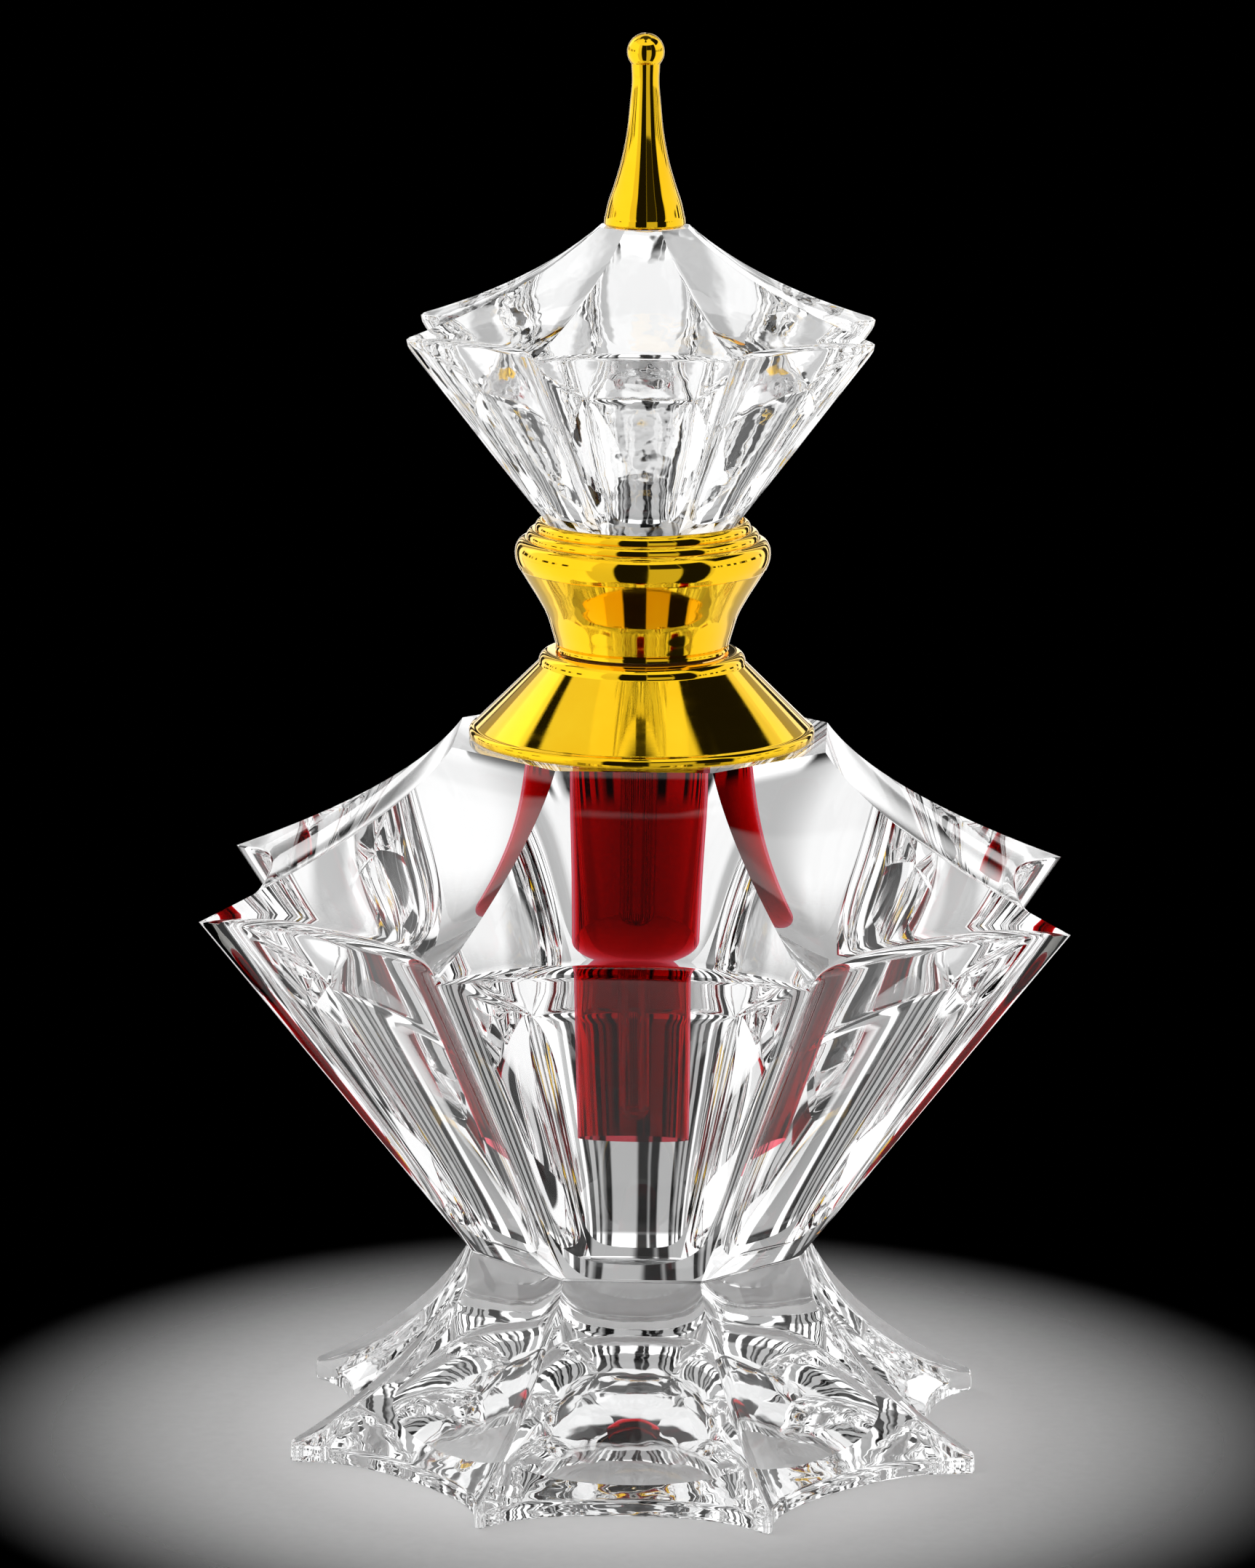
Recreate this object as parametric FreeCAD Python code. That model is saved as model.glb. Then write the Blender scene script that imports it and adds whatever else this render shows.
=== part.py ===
import FreeCAD, Part
import math
import os

# Cut-crystal attar (perfume oil) bottle with a screwed dabber cap. Millimetres, +Z up.
# Origin: centre of the foot's flat underside. A flute of every crystal piece faces -Y.

ARMS = 8                       # points of the star cut on every crystal piece
HALF_STEP = 180.0 / ARMS       # degrees from the middle of a flute to the ridge beside it

# Crystal foot: octagonal waist flaring to a star
WAIST_R = 15.0
WAIST_Z = 16.8
FOOT_TIP_R = 31.3
FOOT_STAR_R = 32.3             # where the foot's ridges would meet if the tips were not rounded
FOOT_EDGE_Z = 1.3              # height of the thin upright edge round the star
FOOT_FLUTE = 4.8
FOOT_BEND = (19.1, 7.7)        # (radius, z) that the flare's ridge bends towards
PUNT_R = 20.0                  # shallow round dish ground and polished in the underside
PUNT_DEPTH = 5.0

# Crystal body: fluted cone up to a star rim, hollowed shoulders up to an octagon
RIM_R = 39.0
RIM_Z = 47.5
BODY_HEEL = 1.4                # depth of the cutter's section at the waist
BODY_FLUTE = 4.1               # and at the rim
BODY_RUNOUT = 2.66             # how far the cutter stands off the cone at the waist
BODY_FADE = 3.6                # height over which it dives in, so each flute ends in a U
BODY_EDGE = 0.12
SHOULDER_R = 16.9
SHOULDER_Z = 60.85
SHOULDER_BEND = (21.6, 54.6)
SHOULDER_SCOOP = 2.9
SHOULDER_POWER = 2.5           # the scoops deepen with this power of the way down the shoulder

# Perfume chamber, drilled from the shoulder
BORE_R = 5.8
BORE_Z = 32.6
OIL_TOP_Z = 58.6
OIL_GAP = 0.03                 # keeps the liquid off the chamber wall

# Crystal head of the cap, the body's cut at a smaller size
HEAD_BASE_R = 8.2
HEAD_BASE_Z = 79.0
HEAD_RIM_R = 21.3
HEAD_TIP_R = 20.8
HEAD_RIM_Z = 95.3
HEAD_HEEL = 0.8
HEAD_FLUTE = 2.3
HEAD_RUNOUT = 1.4
HEAD_FADE = 2.0
HEAD_EDGE = 0.08
HEAD_TOP_R = 3.95
HEAD_TOP_Z = 104.0
HEAD_BEND = (10.0, 98.8)
HEAD_SCOOP = 1.6
HEAD_POWER = 1.5

# Gold finial
FINIAL_BASE_R = 3.4
FINIAL_BALL_R = 1.55
FINIAL_FOOT = (0.2, 0.8)       # heights of the base's chamfer and of the step above it
FINIAL_FLANK = ((3.05, 2.0), (2.55, 3.5), (2.0, 5.4), (1.53, 7.8), (1.28, 10.2), (1.13, 12.0))
BALL_START = -40.0             # degrees from the ball's equator where the neck meets it
TOTAL_HEIGHT = 120.0

# Neck: a threaded insert cemented in the bore, with a gold cone over its flange
THREAD_PITCH = 1.5
THREAD_TURNS = 2.5
THREAD_HEIGHT = 0.55
THREAD_SINK = 0.1              # how far the thread's foot is sunk in the neck
THREAD_FOOT = 0.45             # half heights of the ridge at its foot and its crest
THREAD_CREST = 0.12
THREAD_START = 0.7             # from the neck's top to the thread's upper end
NECK_R = 5.05
NECK_BORE_R = 3.3
NECK_TOP_Z = 74.6
FLANGE_R = 12.6
FLANGE_T = 1.2
SPIGOT_R = 5.75
SPIGOT_LENGTH = 2.0
COLLAR_R = 14.6
COLLAR_TOP_R = 7.8
COLLAR_TOP_Z = 68.15
COLLAR_WALL = 0.8
COLLAR_BAND = 0.85             # height of the upright band round the foot
COLLAR_RING = (0.95, 1.0)      # the rounded ring on top: how far it stands out, and its height
COLLAR_RING_MIDDLE = (0.7, 0.3)
COLLAR_STEP = (0.35, 0.2)      # small slope between the flank and the band

# Cap: gold shell over a plastic inner cap
CAP_BASE_Z = 68.35
CAP_WALL = 0.5
CAP_WAIST_R = 7.25
CAP_FLARE = ((7.32, 68.35), (7.27, 68.6), (7.36, 68.95), (7.57, 69.7), (8.1, 71.35), (8.9, 72.85),
             (9.7, 74.15), (10.36, 75.22))
CAP_BEAD = ((10.44, 75.3), (10.75, 76.45), (10.42, 77.5))
CAP_BEAD_TOP = (9.98, 77.76)
CAP_LOWER_RING = ((9.78, 77.8), (9.66, 78.28), (9.06, 78.52))
CAP_UPPER_RING = ((9.06, 78.52), (8.98, 79.0), (8.62, 79.3))
CAP_LIP_Z = 79.3
CAP_ROOF = 0.8                 # plastic above the dabber's socket
SEAT_R = 8.5
THREAD_CLEARANCE = 0.12
RUNNING_CLEARANCE = 0.06

# Sealing washer and dabber
LINER_T = 0.6
LINER_R = 5.5
LINER_HOLE_R = 1.95
ROD_R = 1.6
ROD_TIP_Z = 34.6
ROD_INSET = 0.4                # the rod stops this much below the plug's top
PLUG_STEM_R = 3.0
PLUG_STEM_T = 0.8
PLUG_HEAD_R = 4.3
PLUG_HEAD_T = 0.8

FLARE_STEPS = 6                # sections along a curved flare
PAST_TOP = 1.02                # cutting solids run on past the faces that trim them
PAST_RIM = 1.1
CUT_SHARES = (0.0, 0.03, 0.07, 0.12, 0.18, 0.26, 0.37, 0.52)       # sections up a fluted cone

# One flute seen in plan: Bezier poles as (share of its half width, share of its depth).
# The bottom is nearly flat and the flanks curl out to the ridges.
FLUTE_POLES = ((-1.0, 1.0), (-0.525, -0.625), (0.0, 0.5), (0.525, -0.625), (1.0, 1.0))

UP = FreeCAD.Vector(0, 0, 1)
AXIS = FreeCAD.Vector(0, 0, 0)


def vector(x, y, z):
    return FreeCAD.Vector(x, y, z)


def star_wire(ridge_r, depth, z):
    """Closed plan section: ridges at ridge_r, joined by flutes that are depth deep in their middle."""
    half_width = ridge_r * math.sin(math.radians(HALF_STEP))
    valley_r = ridge_r * math.cos(math.radians(HALF_STEP)) - depth
    edges = []
    for arm in range(ARMS):
        turn = math.radians(2 * HALF_STEP * arm)
        poles = []
        for across, deep in FLUTE_POLES:
            x = across * half_width
            y = -(valley_r + deep * depth)
            poles.append(vector(x * math.cos(turn) - y * math.sin(turn),
                                x * math.sin(turn) + y * math.cos(turn), z))
        curve = Part.BezierCurve()
        curve.setPoles(poles)
        edges.append(curve.toShape())
    return Part.Wire(edges)


def octagon_wire(ridge_r, z):
    corners = []
    for arm in range(ARMS + 1):
        turn = math.radians(HALF_STEP * (2 * arm + 1))
        corners.append(vector(ridge_r * math.sin(turn), -ridge_r * math.cos(turn), z))
    return Part.makePolygon(corners)


def bend_point(start, bend, end, t):
    """Point (radius, z) of the quadratic curve from start to end that bends towards bend."""
    weights = ((1 - t) ** 2, 2 * t * (1 - t), t ** 2)
    points = (start, bend, end)
    return tuple(sum(w * p[i] for w, p in zip(weights, points)) for i in (0, 1))


def flared_solid(start, bend, end, depth, power, last):
    """Star sections lofted down a curved ridge; the flutes deepen from none at start to depth at end."""
    wires = []
    for step in range(FLARE_STEPS + 1):
        t = last * step / FLARE_STEPS
        ridge_r, z = bend_point(start, bend, end, t)
        wires.append(star_wire(ridge_r, depth * t ** power, z))
    return Part.makeLoft(wires, True, False)


def cylinder(radius, z_low, z_high):
    return Part.makeCylinder(radius, z_high - z_low, vector(0, 0, z_low), UP)


def tube(outer_r, inner_r, z_low, z_high):
    return cylinder(outer_r, z_low, z_high).cut(cylinder(inner_r, z_low, z_high))


def lathe(edges):
    """Solid turned from a closed outline in the XZ plane."""
    face = Part.Face(Part.Wire(Part.__sortEdges__(edges)))
    return face.revolve(AXIS, UP, 360)


def polyline(points):
    corners = [vector(r, 0, z) for r, z in points]
    return [Part.makeLine(a, b) for a, b in zip(corners, corners[1:])]


def arc(start, middle, end):
    return Part.Arc(*[vector(r, 0, z) for r, z in (start, middle, end)]).toShape()


def smooth(points):
    curve = Part.BSplineCurve()
    curve.interpolate([vector(r, 0, z) for r, z in points])
    return curve.toShape()


def fluted_solid(base, rim, heel, flute, edge, runout, fade, extra):
    """What the fluting wheel leaves: it stands off the cone at the base and dives in further up."""
    rise = rim[1] - base[1]
    wires = []
    for share in CUT_SHARES + (extra,):
        height = share * rise
        octagon_r = base[0] + share * (rim[0] - base[0])
        outside = edge + runout * math.exp(-height / fade)
        ridge_r = octagon_r + outside / math.cos(math.radians(HALF_STEP))
        wires.append(star_wire(ridge_r, heel + share * (flute - heel), base[1] + height))
    return Part.makeLoft(wires, True, True)


def double_star(base, rim, wheel, top, bend, scoop, power):
    """Fluted octagonal cone from base out to rim, then a shoulder hollowed by scoops up to top."""
    extra = PAST_TOP * (top[1] - base[1]) / (rim[1] - base[1])    # the cone runs on up past the shoulder
    high_z = base[1] + extra * (rim[1] - base[1])
    high_r = base[0] + extra * (rim[0] - base[0])
    cone = Part.makeLoft([octagon_wire(base[0], base[1]), octagon_wire(high_r, high_z)], True, True)
    fluted = fluted_solid(base, rim, *wheel, extra)
    shoulder = flared_solid(top, bend, rim, scoop, power, PAST_RIM)
    low_z = shoulder.BoundBox.ZMin
    trim = cylinder(2 * high_r, low_z, 2 * high_z).cut(shoulder)
    return cone.common(fluted).cut(trim)


def make_crystal_foot():
    flare = flared_solid((WAIST_R, WAIST_Z), FOOT_BEND, (FOOT_STAR_R, FOOT_EDGE_Z), FOOT_FLUTE, 1.0, 1.0)
    edge = Part.makeLoft([star_wire(FOOT_STAR_R, FOOT_FLUTE, 0),
                          star_wire(FOOT_STAR_R, FOOT_FLUTE, FOOT_EDGE_Z)], True, True)
    blank = flare.fuse(edge).common(cylinder(FOOT_TIP_R, 0, WAIST_Z))
    ball_r = (PUNT_R ** 2 + PUNT_DEPTH ** 2) / (2 * PUNT_DEPTH)
    return blank.cut(Part.makeSphere(ball_r, vector(0, 0, PUNT_DEPTH - ball_r))).removeSplitter()


def make_crystal_body():
    wheel = (BODY_HEEL, BODY_FLUTE, BODY_EDGE, BODY_RUNOUT, BODY_FADE)
    blank = double_star((WAIST_R, WAIST_Z), (RIM_R, RIM_Z), wheel,
                        (SHOULDER_R, SHOULDER_Z), SHOULDER_BEND, SHOULDER_SCOOP, SHOULDER_POWER)
    return blank.cut(cylinder(BORE_R, BORE_Z, SHOULDER_Z))


def make_perfume_oil():
    column = cylinder(BORE_R - OIL_GAP, BORE_Z + OIL_GAP, OIL_TOP_Z)
    return column.cut(rod_shape(RUNNING_CLEARANCE))


def make_neck_insert():
    flange_top = SHOULDER_Z + FLANGE_T
    insert = cylinder(SPIGOT_R, SHOULDER_Z - SPIGOT_LENGTH, SHOULDER_Z)
    insert = insert.fuse(cylinder(FLANGE_R, SHOULDER_Z, flange_top))
    insert = insert.fuse(cylinder(NECK_R, flange_top, NECK_TOP_Z))
    insert = insert.fuse(make_thread())
    return insert.cut(cylinder(NECK_BORE_R, SHOULDER_Z - SPIGOT_LENGTH, NECK_TOP_Z)).removeSplitter()


def make_thread():
    """Right-handed rounded-triangle thread, sunk a little into the neck."""
    sunk_r = NECK_R - THREAD_SINK
    crest_r = NECK_R + THREAD_HEIGHT
    low_z = NECK_TOP_Z - THREAD_START - THREAD_TURNS * THREAD_PITCH
    path = Part.makeHelix(THREAD_PITCH, THREAD_TURNS * THREAD_PITCH, sunk_r)
    path.translate(vector(0, 0, low_z))
    corners = [vector(sunk_r, 0, low_z - THREAD_FOOT), vector(crest_r, 0, low_z - THREAD_CREST),
               vector(crest_r, 0, low_z + THREAD_CREST), vector(sunk_r, 0, low_z + THREAD_FOOT)]
    profile = Part.makePolygon(corners + corners[:1])
    return Part.Wire(path).makePipeShell([profile], True, True)


def make_neck_collar():
    """Gold cone: a thin upright band at the foot, a straight flank, and a rounded ring on top."""
    band_top = SHOULDER_Z + COLLAR_BAND
    ring_out, ring_height = COLLAR_RING
    middle_out, middle_drop = COLLAR_RING_MIDDLE
    step_in, step_down = COLLAR_STEP
    ring = (COLLAR_TOP_R + ring_out, COLLAR_TOP_Z - ring_height)
    hole_r = NECK_R + RUNNING_CLEARANCE
    inner_top = COLLAR_TOP_Z - COLLAR_WALL
    inner_low = SHOULDER_Z + FLANGE_T
    inner_r = COLLAR_R - 2 * COLLAR_WALL
    outline = polyline([(hole_r, COLLAR_TOP_Z), (COLLAR_TOP_R, COLLAR_TOP_Z)])
    ring_middle = (COLLAR_TOP_R + middle_out, COLLAR_TOP_Z - middle_drop)
    outline.append(arc((COLLAR_TOP_R, COLLAR_TOP_Z), ring_middle, ring))
    outline += polyline([ring, (COLLAR_R - step_in, band_top), (COLLAR_R, band_top - step_down),
                         (COLLAR_R, SHOULDER_Z), (inner_r, SHOULDER_Z), (inner_r, inner_low),
                         (COLLAR_TOP_R, inner_top), (hole_r, inner_top), (hole_r, COLLAR_TOP_Z)])
    return lathe(outline)


def make_cap_shell():
    """Gold shell: flared waist, bead, two stepped rings and a shallow seat for the crystal head."""
    inner_r = CAP_WAIST_R - CAP_WALL
    ceiling = inner_cap_top()
    outline = [smooth(CAP_FLARE), arc(*CAP_BEAD), arc(*CAP_LOWER_RING), arc(*CAP_UPPER_RING)]
    outline += polyline([CAP_FLARE[-1], CAP_BEAD[0]])
    outline += polyline([CAP_BEAD[-1], CAP_BEAD_TOP, CAP_LOWER_RING[0]])
    outline += polyline([CAP_UPPER_RING[-1], (SEAT_R, CAP_LIP_Z), (SEAT_R, HEAD_BASE_Z), (0, HEAD_BASE_Z),
                         (0, ceiling), (inner_r, ceiling), (inner_r, CAP_BASE_Z), CAP_FLARE[0]])
    return lathe(outline)


def plug_base():
    return NECK_TOP_Z + LINER_T


def plug_top():
    return plug_base() + PLUG_STEM_T + PLUG_HEAD_T


def inner_cap_top():
    return plug_top() + CAP_ROOF


def make_inner_cap():
    """Plastic lining of the cap: plain bore over the thread, and a socket that snaps over the plug."""
    gap = RUNNING_CLEARANCE
    bore_r = NECK_R + THREAD_HEIGHT + THREAD_CLEARANCE
    groove_z = plug_base() + PLUG_STEM_T
    cap = cylinder(CAP_WAIST_R - CAP_WALL, CAP_BASE_Z, inner_cap_top())
    cap = cap.cut(cylinder(bore_r, CAP_BASE_Z, plug_base()))
    cap = cap.cut(cylinder(PLUG_STEM_R + gap, plug_base(), groove_z))
    return cap.cut(cylinder(PLUG_HEAD_R + gap, groove_z - gap, plug_top() + gap))


def make_rod_plug():
    """Mushroom plug cemented on the dabber's upper end; it turns freely in the inner cap's socket."""
    plug = cylinder(PLUG_STEM_R, plug_base(), plug_base() + PLUG_STEM_T)
    plug = plug.fuse(cylinder(PLUG_HEAD_R, plug_base() + PLUG_STEM_T, plug_top()))
    return plug.cut(cylinder(ROD_R, plug_base(), rod_top())).removeSplitter()


def rod_top():
    return plug_top() - ROD_INSET


def rod_shape(grow):
    """Round glass rod with a ball tip, grown all over by grow."""
    radius = ROD_R + grow
    centre_z = ROD_TIP_Z + ROD_R
    shaft = cylinder(radius, centre_z, rod_top() + grow)
    return shaft.fuse(Part.makeSphere(radius, vector(0, 0, centre_z)))


def make_dabber_rod():
    return rod_shape(0).removeSplitter()


def make_cap_liner():
    return tube(LINER_R, LINER_HOLE_R, NECK_TOP_Z, NECK_TOP_Z + LINER_T)


def make_crystal_head():
    wheel = (HEAD_HEEL, HEAD_FLUTE, HEAD_EDGE, HEAD_RUNOUT, HEAD_FADE)
    blank = double_star((HEAD_BASE_R, HEAD_BASE_Z), (HEAD_RIM_R, HEAD_RIM_Z), wheel,
                        (HEAD_TOP_R, HEAD_TOP_Z), HEAD_BEND, HEAD_SCOOP, HEAD_POWER)
    return blank.common(cylinder(HEAD_TIP_R, HEAD_BASE_Z, HEAD_TOP_Z))


def make_finial():
    """Gold spire: round base, hollow flank, slim neck and a ball."""
    chamfer, step = FINIAL_FOOT
    ball_z = TOTAL_HEIGHT - FINIAL_BALL_R
    low = math.radians(BALL_START)
    ball_start = (FINIAL_BALL_R * math.cos(low), ball_z + FINIAL_BALL_R * math.sin(low))
    shoulder = (FINIAL_BASE_R - 0.08, HEAD_TOP_Z + step)
    flank = [shoulder] + [(r, HEAD_TOP_Z + height) for r, height in FINIAL_FLANK] + [ball_start]
    outline = polyline([(0, TOTAL_HEIGHT), (0, HEAD_TOP_Z), (FINIAL_BASE_R - chamfer, HEAD_TOP_Z),
                        (FINIAL_BASE_R, HEAD_TOP_Z + chamfer), shoulder])
    outline.append(smooth(flank))
    outline.append(arc(ball_start, (FINIAL_BALL_R, ball_z), (0, TOTAL_HEIGHT)))
    return lathe(outline)


PARTS = {
    "crystal_foot": make_crystal_foot,
    "crystal_body": make_crystal_body,
    "perfume_oil": make_perfume_oil,
    "neck_insert": make_neck_insert,
    "neck_collar": make_neck_collar,
    "cap_liner": make_cap_liner,
    "dabber_rod": make_dabber_rod,
    "rod_plug": make_rod_plug,
    "inner_cap": make_inner_cap,
    "cap_shell": make_cap_shell,
    "crystal_head": make_crystal_head,
    "finial": make_finial,
}

os.makedirs("parts", exist_ok=True)
for name, make in PARTS.items():
    shape = make()
    solids = shape.Solids
    box = shape.optimalBoundingBox()
    print(f"{name}: solids {len(solids)} valid {shape.isValid()} volume {shape.Volume:.1f} "
          f"z {box.ZMin:.2f}..{box.ZMax:.2f} x {box.XMin:.2f}..{box.XMax:.2f}")
    if len(solids) == 1:
        shape = solids[0]
    shape.exportStep(f"parts/{name}.step")
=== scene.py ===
import math

import bmesh
import bpy
import numpy as np
from mathutils import Matrix, Vector


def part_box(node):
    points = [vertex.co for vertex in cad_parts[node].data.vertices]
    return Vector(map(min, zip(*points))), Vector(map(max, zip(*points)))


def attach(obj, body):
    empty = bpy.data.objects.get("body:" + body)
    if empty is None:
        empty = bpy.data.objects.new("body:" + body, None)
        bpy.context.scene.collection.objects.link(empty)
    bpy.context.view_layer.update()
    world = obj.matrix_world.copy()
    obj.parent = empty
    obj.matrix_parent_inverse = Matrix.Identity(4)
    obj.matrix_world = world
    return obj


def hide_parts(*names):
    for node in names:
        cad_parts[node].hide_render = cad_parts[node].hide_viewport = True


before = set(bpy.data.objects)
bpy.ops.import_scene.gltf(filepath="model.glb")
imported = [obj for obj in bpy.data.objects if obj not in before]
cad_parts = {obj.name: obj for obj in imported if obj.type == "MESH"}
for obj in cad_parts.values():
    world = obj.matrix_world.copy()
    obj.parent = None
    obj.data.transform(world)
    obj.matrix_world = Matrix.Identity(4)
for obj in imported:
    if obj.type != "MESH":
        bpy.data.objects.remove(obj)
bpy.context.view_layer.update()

# Cut-crystal perfume bottle. Shapes are worked out in millimetres, +Z up, in the CAD's own frame.
MM = 0.001
ARMS = 8
HALF_STEP = math.pi / ARMS          # from the middle of a flute to the ridge beside it
COS, SIN = math.cos(HALF_STEP), math.sin(HALF_STEP)
# Poles of the curve across one flute: share of the half width, and share of the depth that is left uncut.
FLUTE_POLES = np.array([(-1.0, 1.0), (-0.525, -0.625), (0.0, 0.5), (0.525, -0.625), (1.0, 1.0)])
# Kinds of surface. An edge between two kinds is sharp. The first five are split by arm, the rest run round.
CUT, FACET, UNDERSIDE, TOP, BASE = range(5)
CHAMBER_WALL, CHAMBER_FLOOR, DISH = 900, 901, 950
HALVINGS = 60                       # steps of a bisection


def top_mm(node):
    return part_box(node)[1].z / MM


def low_mm(node):
    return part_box(node)[0].z / MM


def reach_mm(node):
    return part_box(node)[1].x / MM


WAIST_Z = top_mm("crystal_foot")
SHOULDER_Z = top_mm("crystal_body")
HEAD_LOW_Z = low_mm("crystal_head")
HEAD_TOP_Z = top_mm("crystal_head")
OIL_GAP = 0.03                      # the CAD liquid stays this far off the chamber wall
BORE_Z = low_mm("perfume_oil") - OIL_GAP
OIL_TOP_Z = top_mm("perfume_oil")
CAP_LOW_Z = low_mm("cap_shell")
CAP_LIP_Z = top_mm("cap_shell")
COLLAR_TOP_Z = top_mm("neck_collar")
COLLAR_R = reach_mm("neck_collar")
TIP_Z = top_mm("finial")
JOINT_LAP = 0.02                    # cemented faces lap by this much, so light passes as through one piece

# A fluted octagonal cone under a hollow shoulder. base, rim, bend and top are (radius of the ridge, height).
# heel and flute are the flutes' depth at the base and at the rim. edge, runout and fade say how far the
# ridges stand outside the octagon. scoop and power say how the shoulder's hollows deepen towards the rim.
# tip_r is where the points are rounded off, and rim_round is the size of the round along the rim.
BODY = {
    "base": (15.0, WAIST_Z), "rim": (38.998, 47.5), "bend": (21.6, 54.6), "top": (16.9, SHOULDER_Z),
    "heel": 1.4, "flute": 4.1, "edge": 0.12, "runout": 2.66, "fade": 3.6,
    "scoop": 2.9, "power": 2.5, "tip_r": None, "rim_round": 1.0,
}
HEAD = {
    "base": (8.2, HEAD_LOW_Z), "rim": (21.3, 95.3), "bend": (10.0, 98.8), "top": (3.95, HEAD_TOP_Z),
    "heel": 0.8, "flute": 2.3, "edge": 0.08, "runout": 1.4, "fade": 2.0,
    "scoop": 1.6, "power": 1.5, "tip_r": 20.8, "rim_round": 0.5,
}
# The foot flares from top to star. dish is the radius and the depth of the hollow ground in its underside.
FOOT = {
    "top": (15.0, WAIST_Z), "bend": (19.1, 7.7), "star": (32.3, 1.3), "flute": 4.8, "tip_r": 31.3,
    "dish": (20.0, 5.0),
}
BORE_R = 5.8


# ---------------------------------------------------------------- mesh helpers

WELD_MM = 0.0005                    # points nearer than this are one point


class Skin:
    """Collects patches, welds them, and marks the edges between differently named groups sharp."""

    def __init__(self):
        self.points, self.faces, self.groups, self.count = [], [], [], 0

    def grid(self, pts, group):
        rows, cols = pts.shape[:2]
        idx = np.arange(rows * cols).reshape(rows, cols) + self.count
        self.points.append(pts.reshape(-1, 3))
        quads = np.stack([idx[:-1, :-1], idx[1:, :-1], idx[1:, 1:], idx[:-1, 1:]], -1).reshape(-1, 4)
        self.faces.append(quads)
        self.groups.append(np.full(len(quads), group))
        self.count += rows * cols

    def build(self, name):
        pts = np.concatenate(self.points)
        faces = np.concatenate(self.faces)
        groups = np.concatenate(self.groups)
        keys = np.round(pts / WELD_MM).astype(np.int64)
        _, first, back = np.unique(keys, axis=0, return_index=True, return_inverse=True)
        back = back.reshape(-1)
        faces = back[faces]
        clean, kinds = [], []
        for quad, kind in zip(faces.tolist(), groups.tolist()):
            ring = [v for i, v in enumerate(quad) if v != quad[i - 1]]
            if len(set(ring)) == len(ring) and len(ring) > 2:
                clean.append(ring)
                kinds.append(kind)
        mesh = bpy.data.meshes.new(name)
        mesh.from_pydata((pts[first] * MM).tolist(), [], clean)
        work = bmesh.new()
        work.from_mesh(mesh)
        bmesh.ops.recalc_face_normals(work, faces=work.faces)
        work.to_mesh(mesh)
        work.free()
        mesh.polygons.foreach_set("use_smooth", [True] * len(mesh.polygons))
        edge = np.empty(len(mesh.loops), int)
        mesh.loops.foreach_get("edge_index", edge)
        sizes = np.empty(len(mesh.polygons), int)
        mesh.polygons.foreach_get("loop_total", sizes)
        kind = np.repeat(np.array(kinds), sizes)
        low = np.full(len(mesh.edges), max(kinds) + 1)
        high = np.full(len(mesh.edges), -1)
        np.minimum.at(low, edge, kind)
        np.maximum.at(high, edge, kind)
        sharp = mesh.attributes.new("sharp_edge", "BOOLEAN", "EDGE")
        sharp.data.foreach_set("value", low != high)
        mesh.update()
        piece = bpy.data.objects.new(name, mesh)
        bpy.context.scene.collection.objects.link(piece)
        return piece


def turned(pts, angle):
    c, s = math.cos(angle), math.sin(angle)
    out = pts.copy()
    out[..., 0] = pts[..., 0] * c - pts[..., 1] * s
    out[..., 1] = pts[..., 0] * s + pts[..., 1] * c
    return out


def arms(skin, half, kind):
    """Adds a half-flute patch to all eight arms and both sides, with sharp edges between the arms."""
    mirrored = half * np.array([-1.0, 1.0, 1.0])
    for arm in range(ARMS):
        turn = 2 * HALF_STEP * arm
        skin.grid(turned(half, turn), kind * ARMS + arm)
        skin.grid(turned(mirrored, turn), kind * ARMS + arm)


def whole_turn(skin, half, kind):
    """Like arms, for a surface that is smooth all the way round."""
    for side in (half, half * np.array([-1.0, 1.0, 1.0])):
        for arm in range(ARMS):
            skin.grid(turned(side, 2 * HALF_STEP * arm), kind)


def flute_at(s):
    """Share of the half width across, and share of the depth, at s = 0..1 along one flute."""
    s = np.asarray(s, float)[..., None]
    k = np.arange(5)
    weights = np.array([1, 4, 6, 4, 1]) * (1 - s) ** (4 - k) * s ** k
    return weights @ FLUTE_POLES[:, 0], weights @ FLUTE_POLES[:, 1]


def star_xy(ridge, depth, s):
    across, deep = flute_at(s)
    return across * ridge * SIN, -(ridge * COS - depth + deep * depth)


def bend(start, middle, end, t):
    t = np.asarray(t, float)
    return tuple((1 - t) ** 2 * a + 2 * t * (1 - t) * b + t ** 2 * c for a, b, c in zip(start, middle, end))


def rounded_tip(x, y, limit):
    """Pulls a point that lies past limit from the axis back to it, with a soft turn."""
    if limit is None:
        return x, y
    r = np.hypot(x, y)
    soft = 0.12                     # mm
    new = -soft * np.logaddexp(-r / soft, -limit / soft)
    return x * new / r, y * new / r


def flute_cut(cut, z):
    """Radius of the octagon's ridge, how far the flute's ridge stands outside, and the flute's depth."""
    v = (z - cut["base"][1]) / (cut["rim"][1] - cut["base"][1])
    octagon = cut["base"][0] + v * (cut["rim"][0] - cut["base"][0])
    outside = (cut["edge"] + cut["runout"] * np.exp(-(z - cut["base"][1]) / cut["fade"])) * (1 - v)
    return octagon, outside, cut["heel"] + v * (cut["flute"] - cut["heel"])


def lower_xy(cut, s, z):
    octagon, outside, depth = flute_cut(cut, z)
    return star_xy(octagon + outside / COS, depth, s)


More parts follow.
